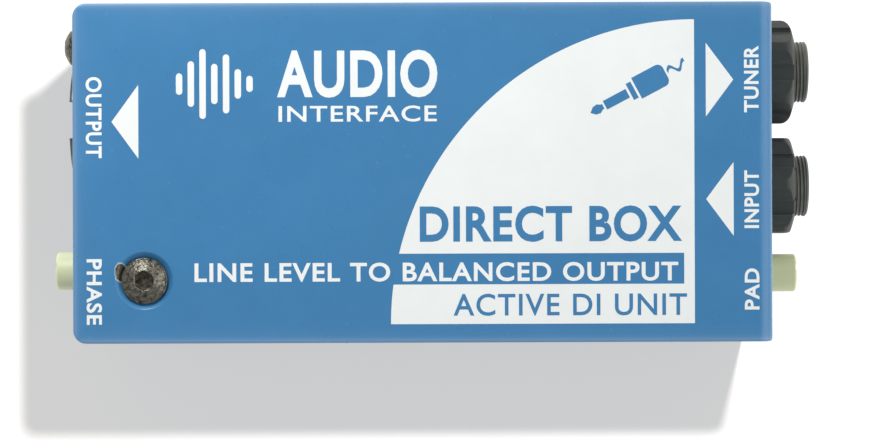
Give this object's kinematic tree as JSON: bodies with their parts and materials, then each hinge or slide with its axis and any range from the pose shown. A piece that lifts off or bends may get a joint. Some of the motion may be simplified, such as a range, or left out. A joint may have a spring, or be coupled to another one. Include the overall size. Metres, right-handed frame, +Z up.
{
  "type": "direct injection box",
  "caption": "Compact folded-steel direct injection box with two quarter-inch jacks, a male three-pin connector and two push buttons.",
  "frame": {"origin": "centre of the underside of the floor pad, where the box stands", "axes": "+X runs along the case towards the jack end, +Y across the case, +Z up"},
  "size_m": [0.1168, 0.0508, 0.0452],
  "materials": {
    "blue_enamel": "satin baked enamel on steel",
    "neoprene": "matte foam rubber",
    "black_oxide": "black oxide",
    "zinc_plate": "bright zinc",
    "black_plastic": "moulded nylon",
    "connector_black": "black chromate die casting",
    "contact_silver": "silver-plated contact",
    "ivory_plastic": "moulded acetal",
    "board_green": "solder resist",
    "cap_sleeve": "heat-shrunk sleeve",
    "film_red": "moulded case",
    "chip_black": "epoxy moulding",
    "resistor_blue": "lacquer",
    "wire_red": "PVC insulation",
    "wire_white": "PVC insulation",
    "wire_black": "PVC insulation"
  },
  "bodies": {
    "case": {"amplifier_chip": "chip_black", "base_chassis": "blue_enamel", "board_screw_1": "zinc_plate", "board_screw_2": "zinc_plate", "board_screw_3": "zinc_plate", "board_screw_4": "zinc_plate", "board_standoff_1": "zinc_plate", "board_standoff_2": "zinc_plate", "board_standoff_3": "zinc_plate", "board_standoff_4": "zinc_plate", "circuit_board": "board_green", "cover": "blue_enamel", "cover_clinch_nut": "zinc_plate", "cover_screw": "black_oxide", "electrolytic_cap_1": "cap_sleeve", "electrolytic_cap_2": "cap_sleeve", "electrolytic_cap_3": "cap_sleeve", "film_cap_1": "film_red", "film_cap_2": "film_red", "floor_pad": "neoprene", "input_jack_body": "black_plastic", "input_jack_bush": "black_plastic", "input_jack_nut": "black_plastic", "pad_return_spring": "contact_silver", "pad_switch_body": "black_plastic", "phase_return_spring": "contact_silver", "phase_switch_body": "black_plastic", "resistor_1": "resistor_blue", "resistor_2": "resistor_blue", "resistor_3": "resistor_blue", "resistor_4": "resistor_blue", "resistor_5": "resistor_blue", "resistor_6": "resistor_blue", "transistor_1": "chip_black", "transistor_2": "chip_black", "tuner_jack_body": "black_plastic", "tuner_jack_bush": "black_plastic", "tuner_jack_nut": "black_plastic", "xlr_housing": "connector_black", "xlr_insert": "black_plastic", "xlr_pin_1": "contact_silver", "xlr_pin_2": "contact_silver", "xlr_pin_3": "contact_silver", "xlr_screw_lower": "black_oxide", "xlr_screw_upper": "black_oxide", "xlr_wire_1": "wire_white", "xlr_wire_2": "wire_red", "xlr_wire_3": "wire_black"},
    "pad_key": {"pad_button": "ivory_plastic", "pad_plunger": "black_plastic"},
    "phase_key": {"phase_button": "ivory_plastic", "phase_plunger": "black_plastic"},
    "tuner_tip": {"tuner_tip_spring": "contact_silver"},
    "input_tip": {"input_tip_spring": "contact_silver"}
  },
  "joints": [
    {"name": "pad_press", "type": "slide", "parent": "case", "child": "pad_key", "axis": [-1, 0, 0], "range_m": [0, 0.0025], "stiffness_N_per_m": 250, "springref_m": -0.004, "deforming": ["pad_return_spring"]},
    {"name": "phase_press", "type": "slide", "parent": "case", "child": "phase_key", "axis": [1, 0, 0], "range_m": [0, 0.0025], "stiffness_N_per_m": 250, "springref_m": -0.004, "deforming": ["phase_return_spring"]},
    {"name": "tuner_tip_flex", "type": "hinge", "parent": "case", "child": "tuner_tip", "pos_m": [0.03647, 0.0158, 0.0278], "axis": [0, 1, 0], "range_deg": [0, 12], "stiffness_Nm_per_rad": 0.25, "springref_deg": -5.73},
    {"name": "input_tip_flex", "type": "hinge", "parent": "case", "child": "input_tip", "pos_m": [0.03647, -0.00196, 0.0278], "axis": [0, 1, 0], "range_deg": [0, 12], "stiffness_Nm_per_rad": 0.25, "springref_deg": -5.73}
  ]
}
